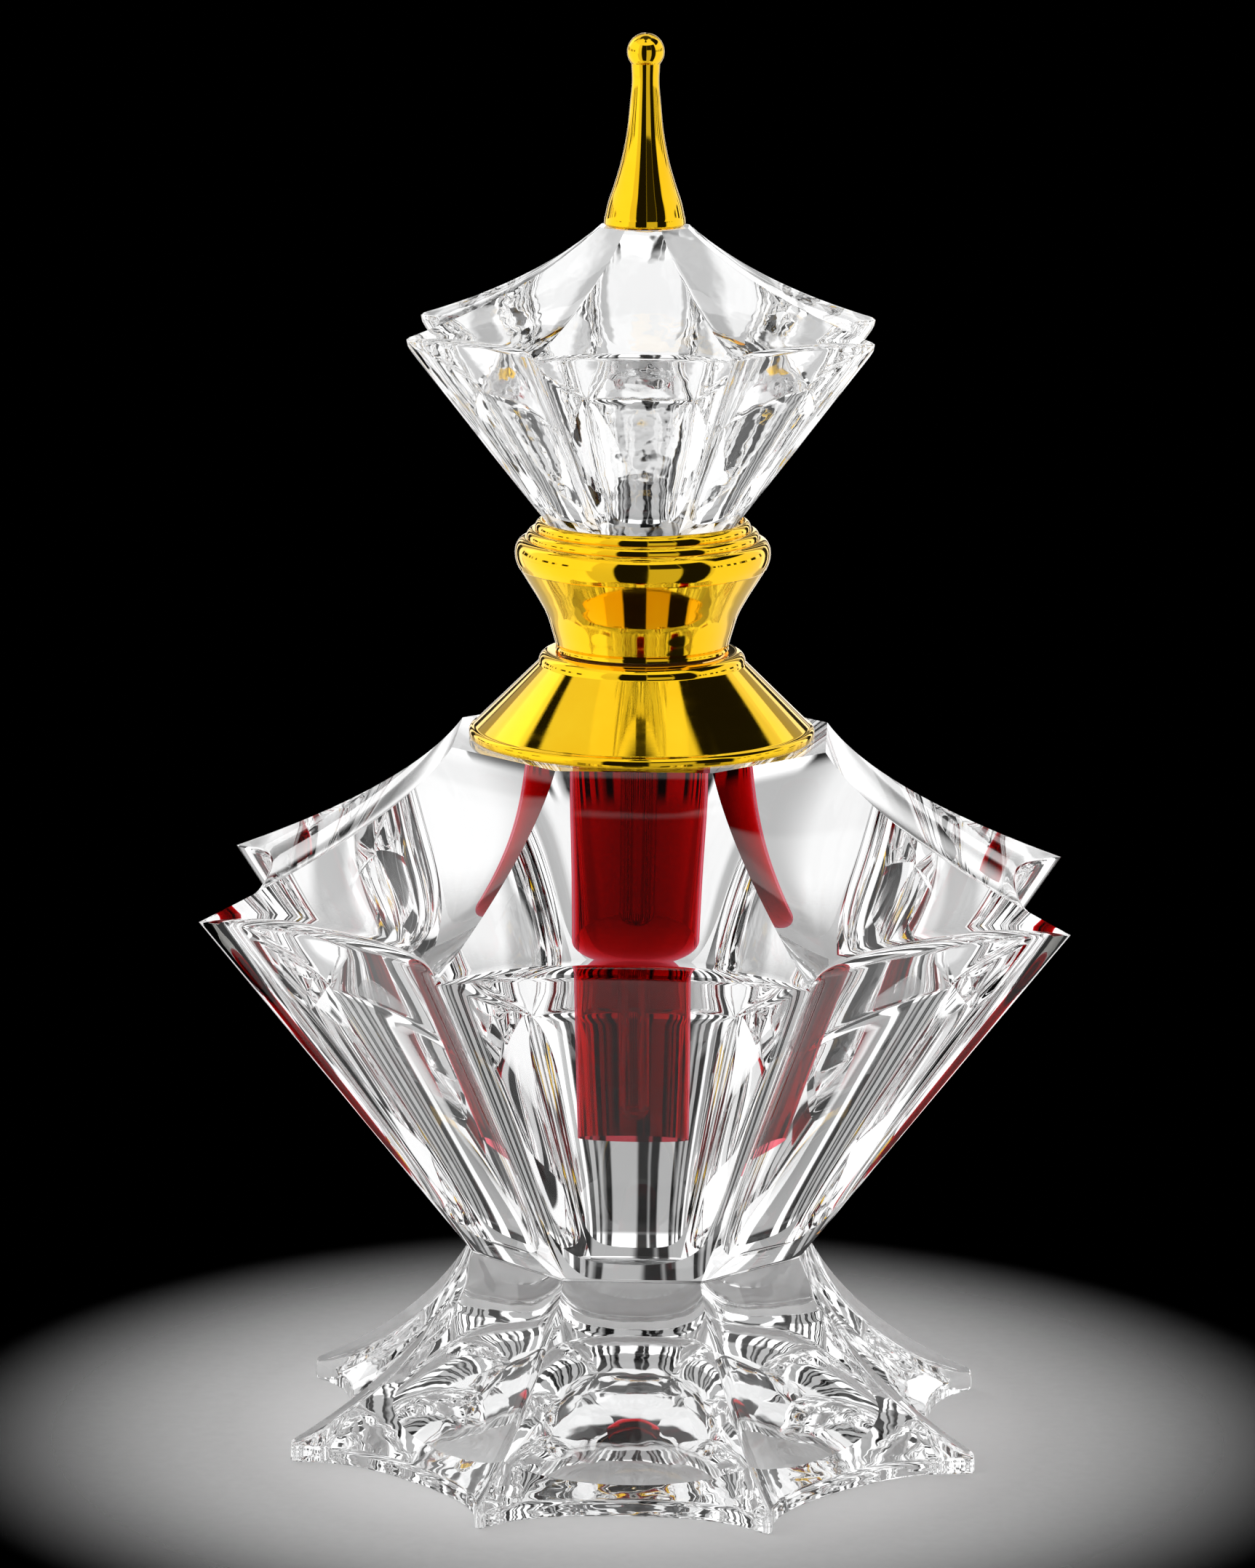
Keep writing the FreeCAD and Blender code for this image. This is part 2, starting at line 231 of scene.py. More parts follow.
def flute_end(cut, s):
    """Height at which the flute comes out of the octagon's face, for each place across the flute."""
    low = np.full(len(s), float(cut["base"][1]))
    high = np.full(len(s), float(cut["rim"][1]))
    deep = flute_at(s)[1]
    for _ in range(HALVINGS):
        z = (low + high) / 2
        _, outside, depth = flute_cut(cut, z)
        above = outside < depth * (1 - deep)
        low = np.where(above, low, z)
        high = np.where(above, z, high)
    return np.where(s >= 1, cut["rim"][1], high)


ACROSS_TABLE = np.linspace(0.5, 1.0, 4001)
ACROSS_VALUES = flute_at(ACROSS_TABLE)[0]


def rim_line(cut, s):
    """Where the fluted cone meets the hollow shoulder: the shoulder's own (s, t) and the height."""
    low, high = np.full(len(s), 0.5), np.ones(len(s))
    for _ in range(HALVINGS):
        t = (low + high) / 2
        ridge, z = bend(cut["top"], cut["bend"], cut["rim"], t)
        x, y = lower_xy(cut, s, z)
        s_up = np.interp(np.clip(x / (ridge * SIN), 0, 1), ACROSS_VALUES, ACROSS_TABLE)
        y_up = star_xy(ridge, cut["scoop"] * t ** cut["power"], s_up)[1]
        cone_outside = y < y_up
        low = np.where(cone_outside, t, low)
        high = np.where(cone_outside, high, t)
    high = np.where(s >= 1, 1.0, high)
    s_up = np.where(s >= 1, 1.0, s_up)
    return s_up, high, bend(cut["top"], cut["bend"], cut["rim"], high)[1]


def half_columns(count):
    """Flute parameters from the middle (0.5) to the ridge (1), closer together near the ridge."""
    u = np.linspace(0, 1, count)
    crowding = 1.35
    return 0.5 + 0.5 * (1 - (1 - u) ** crowding)


def disc(edge, count):
    """Rows from an edge line in to the axis, all in the edge's own plane."""
    shares = np.linspace(1, 0, count)[:, None, None]
    return edge[None] * np.concatenate([shares, shares, np.ones_like(shares)], -1)


def rows_between(start, end, count):
    shares = np.linspace(0, 1, count)[:, None, None]
    return start[None] * (1 - shares) + end[None] * shares


def ring_below(edge, radius):
    """The point of a circle in line with each point of an edge, at the edge's height."""
    angle = np.arctan2(edge[:, 0], -edge[:, 1])
    return np.stack([radius * np.sin(angle), -radius * np.cos(angle), edge[:, 2]], -1)


def double_star(name, cut, bore=None, lap=0.0, columns=30, rows=44):
    """Fluted octagonal cone up to a star rim, then a shoulder of hollow scoops, and a flat top."""
    skin = Skin()
    s = half_columns(columns)
    base_r, base_z = cut["base"]
    rim_r, rim_z = cut["rim"]
    z_low = flute_end(cut, s)
    s_up, t_rim, z_rim = rim_line(cut, s)

    # The round along the rim narrows towards the points: back_low is its height on the cone, and back_up its
    # share of the shoulder's curve.
    across = flute_at(s)[0]
    taper = np.where(s >= 1, 0, np.maximum(1 - across ** 4, 0.15))
    back_low = np.minimum(cut["rim_round"] * taper, 0.4 * (z_rim - z_low))
    reach = math.hypot(cut["rim"][0] - cut["bend"][0], cut["rim"][1] - cut["bend"][1])
    back_up = cut["rim_round"] * taper / (2 * reach)

    k = np.linspace(0, 1, rows)[:, None]
    z = z_low + k ** 1.6 * (z_rim - back_low - z_low)
    x, y = lower_xy(cut, s[None, :], z)
    x, y = rounded_tip(x, y, cut["tip_r"])
    arms(skin, np.stack([x, y, z], -1), CUT)
    u_curve = np.stack([x[0], y[0], z[0]], -1)
    band_low = np.stack([x[-1], y[-1], z[-1]], -1)
    x, y = rounded_tip(*lower_xy(cut, s, z_rim), cut["tip_r"])
    band_mid = np.stack([x, y, z_rim], -1)

    ridge = base_r + (z_low - base_z) / (rim_z - base_z) * (rim_r - base_r)
    rx, ry = rounded_tip(ridge * SIN, -ridge * COS, cut["tip_r"])
    outer = np.stack([rx, ry, z_low], -1)
    arms(skin, np.stack([u_curve, outer], 0), FACET)
    steps = np.linspace(0, 1, 7)[:, None]
    waist_mid = np.array([0, -base_r * COS, base_z])
    waist_end = np.array([base_r * SIN, -base_r * COS, base_z])
    left = waist_mid + steps * (u_curve[0] - waist_mid)
    right = waist_end + steps * (outer[0] - waist_end)
    arms(skin, np.stack([left, right], 1), FACET)

    t = k * (t_rim - back_up)
    r_up, z_up = bend(cut["top"], cut["bend"], cut["rim"], t)
    x, y = star_xy(r_up, cut["scoop"] * t ** cut["power"], s_up[None, :])
    x, y = rounded_tip(x, y, cut["tip_r"])
    arms(skin, np.stack([x, y, z_up], -1), CUT)
    band_up = np.stack([x[-1], y[-1], z_up[-1]], -1)
    w = np.linspace(0, 1, 8)[:, None, None]
    arms(skin, (1 - w) ** 2 * band_low + 2 * w * (1 - w) * band_mid + w ** 2 * band_up, CUT)

    top_edge = np.stack([x[0], y[0], z_up[0]], -1)
    if bore is None:
        arms(skin, disc(top_edge, 6), TOP)
    else:
        radius, floor_z = bore
        ring = ring_below(top_edge, radius)
        arms(skin, rows_between(top_edge, ring, 8), TOP)
        wall = np.repeat(ring[None], 30, 0)
        wall[..., 2] = np.linspace(top_edge[0, 2], floor_z, 30)[:, None]
        whole_turn(skin, wall, CHAMBER_WALL)
        whole_turn(skin, disc(wall[-1], 6), CHAMBER_FLOOR)
    foot_edge = np.stack([waist_mid, waist_end], 0)
    under = foot_edge.copy()
    under[:, 2] -= lap
    if lap:
        arms(skin, np.stack([foot_edge, under], 0), FACET)
    arms(skin, disc(under, 5), BASE)
    return skin.build(name)


def grind_dish(skin, edge, radius, depth):
    """Flat underside from the star's edge in to a round ground dish."""
    ring = ring_below(edge, radius)
    arms(skin, rows_between(edge, ring, 8), UNDERSIDE)
    ball_r = (radius ** 2 + depth ** 2) / (2 * depth)
    dish = disc(ring, 24)
    dish[..., 2] = depth - ball_r + np.sqrt(ball_r ** 2 - dish[..., 0] ** 2 - dish[..., 1] ** 2)
    whole_turn(skin, dish, DISH)


EDGE_ROUND, EDGE_CHAMFER, CHAMFER_SHARE = 0.35, 0.12, 0.996    # the foot's thin edge, top and bottom


def star_foot(name, cut, columns=34, rows=44):
    """Octagonal waist flaring down a hollow curve to a star with a thin upright edge."""
    skin = Skin()
    s = half_columns(columns)
    t = np.linspace(0, 0.985, rows)[:, None]
    ridge, z = bend(cut["top"], cut["bend"], cut["star"], t)
    x, y = star_xy(ridge, cut["flute"] * t, s[None, :])
    x, y = rounded_tip(x, y, cut["tip_r"])
    z = np.broadcast_to(z, x.shape)
    arms(skin, np.stack([x, y, z], -1), CUT)
    band_low = np.stack([x[-1], y[-1], z[-1]], -1)
    ex, ey = rounded_tip(*star_xy(cut["star"][0], cut["flute"], s), cut["tip_r"])
    corner = np.stack([ex, ey, np.full(len(s), cut["star"][1])], -1)
    edge = corner - np.array([0, 0, EDGE_ROUND])
    w = np.linspace(0, 1, 7)[:, None, None]
    arms(skin, (1 - w) ** 2 * band_low + 2 * w * (1 - w) * corner + w ** 2 * edge, CUT)
    low = edge.copy()
    low[:, 2] = EDGE_CHAMFER
    arms(skin, rows_between(edge, low, 4), CUT)
    high, low = low, low * np.array([CHAMFER_SHARE, CHAMFER_SHARE, 0.0])
    arms(skin, np.stack([high, low], 0), FACET)
    grind_dish(skin, low, *cut["dish"])
    arms(skin, disc(np.stack([x[0], y[0], z[0]], -1), 7), TOP)
    return skin.build(name)


def arc_points(start, middle, end, count=10):
    """Circle arc through three (radius, height) points."""
    (ax, ay), (bx, by), (cx, cy) = start, middle, end
    d = 2 * (ax * (by - cy) + bx * (cy - ay) + cx * (ay - by))
    ux = ((ax * ax + ay * ay) * (by - cy) + (bx * bx + by * by) * (cy - ay)
          + (cx * cx + cy * cy) * (ay - by)) / d
    uy = ((ax * ax + ay * ay) * (cx - bx) + (bx * bx + by * by) * (ax - cx)
          + (cx * cx + cy * cy) * (bx - ax)) / d
    radius = math.hypot(ax - ux, ay - uy)
    a0 = math.atan2(ay - uy, ax - ux)
    am = (math.atan2(by - uy, bx - ux) - a0) % (2 * math.pi)
    a1 = (math.atan2(cy - uy, cx - ux) - a0) % (2 * math.pi)
    if am > a1:
        a1 -= 2 * math.pi
    angles = a0 + np.linspace(0, 1, count) * a1
    return [(ux + radius * math.cos(a), uy + radius * math.sin(a)) for a in angles]


def spline_points(points, count=40):
    """Smooth curve through the points (Catmull-Rom, spaced by chord length)."""
    pts = np.array(points, float)
    pts = np.vstack([2 * pts[0] - pts[1], pts, 2 * pts[-1] - pts[-2]])
    knots = np.concatenate([[0], np.cumsum(np.sqrt(np.hypot(*np.diff(pts, axis=0).T)))])
    out = []
    for t in np.linspace(knots[1], knots[-2] - 1e-9, count):
        i = int(np.clip(np.searchsorted(knots, t, "right") - 1, 1, len(pts) - 3))
        t0, t1, t2, t3 = knots[i - 1:i + 3]
        p0, p1, p2, p3 = pts[i - 1:i + 3]
        a1 = p0 * (t1 - t) / (t1 - t0) + p1 * (t - t0) / (t1 - t0)
        a2 = p1 * (t2 - t) / (t2 - t1) + p2 * (t - t1) / (t2 - t1)
        a3 = p2 * (t3 - t) / (t3 - t2) + p3 * (t - t2) / (t3 - t2)
        b1 = a1 * (t2 - t) / (t2 - t0) + a2 * (t - t0) / (t2 - t0)
        b2 = a2 * (t3 - t) / (t3 - t1) + a3 * (t - t1) / (t3 - t1)
        out.append(tuple(b1 * (t2 - t) / (t2 - t1) + b2 * (t - t1) / (t2 - t1)))
    return out


def rounded(points, radius, count=5):
    """The same outline with every inner corner rounded."""
    out = [tuple(points[0])]
    for a, b, c in zip(points, points[1:], points[2:]):
        a, b, c = (np.array(p, float) for p in (a, b, c))
        reach = min(radius, 0.45 * np.linalg.norm(a - b), 0.45 * np.linalg.norm(c - b))
        p = b + (a - b) / np.linalg.norm(a - b) * reach
        q = b + (c - b) / np.linalg.norm(c - b) * reach
        for t in np.linspace(0, 1, count):
            out.append(tuple((1 - t) ** 2 * p + 2 * t * (1 - t) * b + t * t * q))
    out.append(tuple(points[-1]))
    return out


def lathe(name, runs, steps=192):
    """Turns a closed outline, given as smooth runs that meet at sharp corners."""
    skin = Skin()
    angles = np.linspace(0, 2 * math.pi, steps + 1)
    for number, run in enumerate(runs):
        run = np.array(run, float)
        r, z = np.maximum(run[:, 0], 0)[:, None], run[:, 1][:, None]
        pts = np.stack([r * np.cos(angles), r * np.sin(angles), z + 0 * angles], -1)
        pts[:, -1] = pts[:, 0]
        skin.grid(pts, number)
    return skin.build(name)


# ---------------------------------------------------------------- materials

class Nodes:
    """Short way to write a procedural node material."""

    def __init__(self, tree):
        self.tree = tree

    def add(self, kind, **values):
        node = self.tree.nodes.new(kind)
        for key, value in values.items():
            setattr(node, key, value)
        return node

    def put(self, socket, value):
        if isinstance(value, bpy.types.NodeSocket):
            self.tree.links.new(value, socket)
        else:
            socket.default_value = value

    def math(self, operation, *values):
        node = self.add("ShaderNodeMath", operation=operation)
        for socket, value in zip(node.inputs, values):
            self.put(socket, value)
        return node.outputs[0]

    def noise(self, vector, scale, detail=3.0, rough=0.5):
        node = self.add("ShaderNodeTexNoise")
        self.put(node.inputs["Vector"], vector)
        node.inputs["Scale"].default_value = scale
        node.inputs["Detail"].default_value = detail
        node.inputs["Roughness"].default_value = rough
        return node.outputs["Fac"]

    def between(self, value, low, high, out_low=0.0, out_high=1.0):
        """Passes softly from out_low to out_high as the value goes from low to high."""
        node = self.add("ShaderNodeMapRange", interpolation_type="SMOOTHSTEP")
        self.put(node.inputs["Value"], value)
        node.inputs["From Min"].default_value = low
        node.inputs["From Max"].default_value = high
        node.inputs["To Min"].default_value = out_low
        node.inputs["To Max"].default_value = out_high
        return node.outputs["Result"]

    def ramp(self, value, stops):
        node = self.add("ShaderNodeValToRGB")
        self.put(node.inputs["Fac"], value)
        marks = node.color_ramp.elements
        while len(marks) < len(stops):
            marks.new(0.5)
        for mark, (place, colour) in zip(marks, stops):
            mark.position = place
            mark.color = (*colour, 1.0)
        return node.outputs["Color"]

    def mapped(self, vector, scale):
        node = self.add("ShaderNodeMapping")
        self.put(node.inputs["Vector"], vector)
        node.inputs["Scale"].default_value = scale
        return node.outputs["Vector"]

    def bump(self, height, strength, distance, normal=None):
        node = self.add("ShaderNodeBump")
        node.inputs["Strength"].default_value = strength
        node.inputs["Distance"].default_value = distance
        self.put(node.inputs["Height"], height)
        if normal is not None:
            self.put(node.inputs["Normal"], normal)
        return node.outputs["Normal"]


CRYSTAL_IOR, OIL_IOR = 1.52, 1.47


def material(name, constants):
    """A material with one shader: itself, its nodes, the shader and the object's own coordinates."""
    mat = bpy.data.materials.new(name)
    mat.use_nodes = True
    tree = mat.node_tree
    tree.nodes.clear()
    nodes = Nodes(tree)
    shader = nodes.add("ShaderNodeBsdfPrincipled")
    out = nodes.add("ShaderNodeOutputMaterial")
    tree.links.new(shader.outputs["BSDF"], out.inputs["Surface"])
    for key, value in constants.items():
        shader.inputs[key].default_value = value
    place = nodes.add("ShaderNodeTexCoord").outputs["Object"]
    return mat, nodes, shader, place


def crystal_material(name, ripple_scale=90.0, ripple_depth=0.00004, haze_scale=420.0, haze_rough=0.012):
    """Clear crystal. The ripple is what the cutting wheel leaves, the haze is what polishing leaves."""
    mat, n, shader, place = material(name, {"Transmission Weight": 1.0, "IOR": CRYSTAL_IOR})
    haze = n.noise(place, 140.0, 4.0, 0.6)
    n.put(shader.inputs["Base Color"], n.ramp(haze, [(0.3, (0.985, 0.99, 0.992)), (0.7, (1.0, 1.0, 1.0))]))
    wipe = n.noise(n.mapped(place, (1.0, 1.0, 0.35)), haze_scale, 5.0, 0.65)
    n.put(shader.inputs["Roughness"], n.between(wipe, 0.45, 0.85, 0.0, haze_rough))
    swell = n.noise(place, ripple_scale, 2.0, 0.5)
    polish = n.noise(n.mapped(place, (1.0, 1.0, 0.5)), 700.0, 3.0, 0.5)
    wave = n.bump(swell, 0.35, ripple_depth)
    n.put(shader.inputs["Normal"], n.bump(polish, 0.2, 0.000002, wave))
    return mat


def wetted_wall_material():
    """Chamber wall under the oil: light crosses it by the ratio of the two refractive indices."""
    mat, n, shader, place = material("wetted_crystal_wall", {
        "Transmission Weight": 1.0, "IOR": CRYSTAL_IOR / OIL_IOR,
    })
    drill = n.noise(n.mapped(place, (0.3, 0.3, 1.0)), 800.0, 3.0, 0.5)
    dull, clean = (0.985, 0.985, 0.985), (1.0, 1.0, 1.0)
    n.put(shader.inputs["Base Color"], n.ramp(drill, [(0.3, dull), (0.7, clean)]))
    n.put(shader.inputs["Roughness"], n.between(drill, 0.4, 0.8, 0.0, 0.02))
    n.put(shader.inputs["Normal"], n.bump(drill, 0.1, 0.000003))
    return mat


def gold_material():
    """Polished plating: faint uneven tone, smears and buffing lines round the axis."""
    mat, n, shader, place = material("polished_gold", {"Metallic": 1.0, "Specular IOR Level": 0.5})
    tone = n.noise(place, 160.0, 3.0, 0.55)
    deep, pale = (0.97, 0.56, 0.011), (1.0, 0.625, 0.018)
    n.put(shader.inputs["Base Color"], n.ramp(tone, [(0.3, deep), (0.7, pale)]))
    smear = n.noise(n.mapped(place, (1.0, 1.0, 4.0)), 260.0, 5.0, 0.7)
    n.put(shader.inputs["Roughness"], n.between(smear, 0.35, 0.8, 0.035, 0.085))
    buff = n.noise(n.mapped(place, (1.0, 1.0, 9.0)), 900.0, 3.0, 0.6)
    swell = n.noise(place, 220.0, 2.0, 0.5)
    n.put(shader.inputs["Normal"], n.bump(buff, 0.12, 0.000003, n.bump(swell, 0.2, 0.000008)))
    return mat


def oil_material():
    """Red oil coloured by its depth. Its surface doesn't bend light: the wetted wall round it does that."""
    mat, n, shader, place = material("perfume_oil_red", {"Transmission Weight": 1.0, "IOR": 1.0})
    cloud = n.noise(n.mapped(place, (1.0, 1.0, 0.4)), 180.0, 3.0, 0.5)
    deep, pale = (0.78, 0.16, 0.22), (0.86, 0.20, 0.27)
    n.put(shader.inputs["Base Color"], n.ramp(cloud, [(0.3, deep), (0.7, pale)]))
    n.put(shader.inputs["Roughness"], n.between(n.noise(place, 500.0, 3.0), 0.4, 0.8, 0.0, 0.02))
    tint = n.add("ShaderNodeVolumeAbsorption")
    tint.inputs["Color"].default_value = (0.88, 0.02, 0.05, 1.0)
    tint.inputs["Density"].default_value = 1300.0
    out = next(node for node in mat.node_tree.nodes if node.bl_idname == "ShaderNodeOutputMaterial")
    n.put(out.inputs["Volume"], tint.outputs["Volume"])
    n.put(shader.inputs["Normal"], n.bump(n.noise(place, 300.0, 2.0), 0.1, 0.000005))
    return mat


def rod_material():
    mat, n, shader, place = material("drawn_glass_rod", {"Transmission Weight": 1.0, "IOR": OIL_IOR})
    draw = n.noise(n.mapped(place, (1.0, 1.0, 0.08)), 900.0, 3.0, 0.5)
    n.put(shader.inputs["Base Color"], n.ramp(draw, [(0.3, (0.95, 0.975, 0.97)), (0.7, (1.0, 1.0, 1.0))]))
    n.put(shader.inputs["Roughness"], n.between(draw, 0.4, 0.8, 0.0, 0.02))
    n.put(shader.inputs["Normal"], n.bump(draw, 0.15, 0.00001))
    return mat


def plastic_material():
    mat, n, shader, place = material("moulded_white_plastic", {"IOR": 1.5})
    tone = n.noise(place, 120.0, 4.0, 0.55)
    cream, white = (0.78, 0.77, 0.73), (0.85, 0.845, 0.81)
    n.put(shader.inputs["Base Color"], n.ramp(tone, [(0.3, cream), (0.7, white)]))
    grain = n.noise(place, 2600.0, 3.0, 0.6)
    n.put(shader.inputs["Roughness"], n.between(grain, 0.3, 0.75, 0.28, 0.42))
    n.put(shader.inputs["Normal"], n.bump(grain, 0.25, 0.00001))
    return mat


def foam_material():
    mat, n, shader, place = material("closed_cell_foam", {"IOR": 1.4})
    cell = n.add("ShaderNodeTexVoronoi")
    n.put(cell.inputs["Vector"], place)
    cell.inputs["Scale"].default_value = 4200.0
    across = cell.outputs["Distance"]
    # Painted shade: the cell hollows are painted darker than the cell walls.
    hollow, wall = (0.70, 0.69, 0.66), (0.82, 0.81, 0.79)
    n.put(shader.inputs["Base Color"], n.ramp(across, [(0.0, hollow), (0.6, wall)]))
    n.put(shader.inputs["Roughness"], n.between(across, 0.0, 0.7, 0.65, 0.9))
    n.put(shader.inputs["Normal"], n.bump(across, 0.5, 0.00004))
    return mat


# ---------------------------------------------------------------- pieces

crystal = crystal_material("cut_crystal")
foot_crystal = crystal_material("hand_cut_foot_crystal", ripple_scale=190.0, ripple_depth=0.00024)
head_crystal = crystal_material("hand_cut_head_crystal", ripple_scale=320.0, ripple_depth=0.00018,
                                haze_scale=240.0, haze_rough=0.15)
wetted_wall = wetted_wall_material()
gold = gold_material()
oil_red = oil_material()
rod_glass = rod_material()
white_plastic = plastic_material()
foam = foam_material()


def finish_piece(piece, mat, node, body):
    """Gives a piece its material and its body, and lets it stand for a CAD node."""
    piece.data.materials.append(mat)
    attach(piece, body)
    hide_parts(node)


def keep_node(node, mat):
    """A CAD node that stays, with a better material."""
    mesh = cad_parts[node].data
    mesh.materials.clear()
    mesh.materials.append(mat)


foot = star_foot("foot_crystal", FOOT)
finish_piece(foot, foot_crystal, "crystal_foot", "bottle")
body = double_star("body_crystal", BODY, bore=(BORE_R, BORE_Z), lap=JOINT_LAP)
finish_piece(body, crystal, "crystal_body", "bottle")
body.data.materials.append(wetted_wall)
for face in body.data.polygons:
    in_chamber = math.hypot(face.center.x, face.center.y) < (BORE_R + 0.01) * MM
    if in_chamber and face.center.z > (BORE_Z - 0.01) * MM:
        face.material_index = 1
head = double_star("head_crystal", HEAD, columns=24, rows=34)
finish_piece(head, head_crystal, "crystal_head", "cap")

oil_r = BORE_R + JOINT_LAP
oil_low = BORE_Z - JOINT_LAP
meniscus = arc_points((oil_r, OIL_TOP_Z), (oil_r - 0.35, OIL_TOP_Z - 0.3), (oil_r - 1.2, OIL_TOP_Z - 0.42),
                      count=8)
oil = lathe("oil_column", [
    [(0, OIL_TOP_Z - 0.45)] + meniscus[::-1],
    [(oil_r, z) for z in np.linspace(OIL_TOP_Z, oil_low, 20)],
    [(oil_r, oil_low), (oil_r * 0.5, oil_low), (0, oil_low)],
])
finish_piece(oil, oil_red, "perfume_oil", "bottle")

hole_r, ring_r = 5.11, 7.8          # the collar's hole, and the flat ring round it
collar_low = low_mm("neck_collar")
skirt_r = COLLAR_R - 1.6            # inside of the cone's lower edge
skirt_z = collar_low + 1.2
ceiling = COLLAR_TOP_Z - 0.8        # underside of the ring
shoulder = (ring_r + 0.93, COLLAR_TOP_Z - 0.9)
rim_edge = (COLLAR_R - 0.12, collar_low)
collar = lathe("collar_gold", [
    rounded([(hole_r, ceiling), (hole_r, COLLAR_TOP_Z), (ring_r, COLLAR_TOP_Z)], 0.15)
    + arc_points((ring_r, COLLAR_TOP_Z), (ring_r + 0.7, COLLAR_TOP_Z - 0.3), shoulder, 12),
    rounded([shoulder, (ring_r + 0.97, COLLAR_TOP_Z - 1.02),
             (COLLAR_R - 0.42, collar_low + 0.93), (COLLAR_R - 0.2, collar_low + 0.83),
             (COLLAR_R, collar_low + 0.6), (COLLAR_R, collar_low + 0.12), rim_edge], 0.14),
    [rim_edge, (skirt_r, collar_low)],
    [(skirt_r, collar_low), (skirt_r, skirt_z)],
    [(skirt_r, skirt_z), (ring_r, ceiling)],
    [(ring_r, ceiling), (hole_r, ceiling)],
])
finish_piece(collar, gold, "neck_collar", "bottle")

# The cap's gold shell from its mouth up: waist, step, bead, two rings, and the seat that holds the head.
seat_r, seat_z = 8.5, HEAD_LOW_Z - JOINT_LAP
mouth_r, mouth_z = 6.75, CAP_LOW_Z + 0.1
ceiling_z = top_mm("inner_cap")
step, bead_low, bead_top = (10.36, 75.22), (10.44, 75.30), (9.78, 77.80)
shell = lathe("cap_gold", [
    spline_points([(7.32, CAP_LOW_Z), (7.27, CAP_LOW_Z + 0.22), (7.36, CAP_LOW_Z + 0.6), (7.57, 69.7),
                   (8.1, 71.35), (8.9, 72.85), (9.7, 74.15), step], 60),
    [step, bead_low],
    spline_points([bead_low, (10.66, 75.85), (10.75, 76.45), (10.69, 77.0), (10.42, 77.5), (9.98, 77.76),
                   bead_top], 36),
    arc_points(bead_top, (9.66, 78.28), (9.06, 78.52), 12),
    arc_points((9.06, 78.52), (8.98, 79.0), (8.62, CAP_LIP_Z), 12) + [(seat_r, CAP_LIP_Z)],
    [(seat_r, CAP_LIP_Z), (seat_r, seat_z)],
    [(seat_r, seat_z), (4.0, seat_z), (0, seat_z)],
    [(0, ceiling_z), (mouth_r, ceiling_z)],
    [(mouth_r, ceiling_z), (mouth_r, mouth_z)],
    [(mouth_r, mouth_z), (6.85, CAP_LOW_Z), (7.32, CAP_LOW_Z)],
])
finish_piece(shell, gold, "cap_shell", "cap")

ball_r = 1.55
ball_z = TIP_Z - ball_r
ball_angle = math.radians(-40)      # where the ball grows out of the neck, from its equator
ball_start = (ball_r * math.cos(ball_angle), ball_z + ball_r * math.sin(ball_angle))
flank = [(3.32, HEAD_TOP_Z + 0.8), (3.05, 106.0), (2.55, 107.5), (2.0, 109.4), (1.53, 111.8), (1.28, 114.2),
         (1.13, 116.0), ball_start]
spire = lathe("spire_gold", [
    [(0, HEAD_TOP_Z), (1.6, HEAD_TOP_Z), (3.2, HEAD_TOP_Z)],
    rounded([(3.2, HEAD_TOP_Z), (3.4, HEAD_TOP_Z + 0.2), (3.36, HEAD_TOP_Z + 0.7)], 0.15),
    [(3.36, HEAD_TOP_Z + 0.7), (3.32, HEAD_TOP_Z + 0.8)] + spline_points(flank, 70)[1:],
    arc_points(ball_start, (ball_r, ball_z), (0, TIP_Z), 40),
], steps=128)
finish_piece(spire, gold, "finial", "cap")

keep_node("neck_insert", white_plastic)
keep_node("inner_cap", white_plastic)
keep_node("rod_plug", white_plastic)
keep_node("cap_liner", foam)
keep_node("dabber_rod", rod_glass)


# ---------------------------------------------------------------- studio

# Distances from the axis, in metres, over which the floor's paper goes from painted light (near white under
# the bottle) to pale grey, and over which it fades out into the dark as painted light falloff.
FLOOR_PAINTED_POOL = (0.026, 0.036)
FLOOR_PAINTED_FALLOFF = (0.031, 0.062)


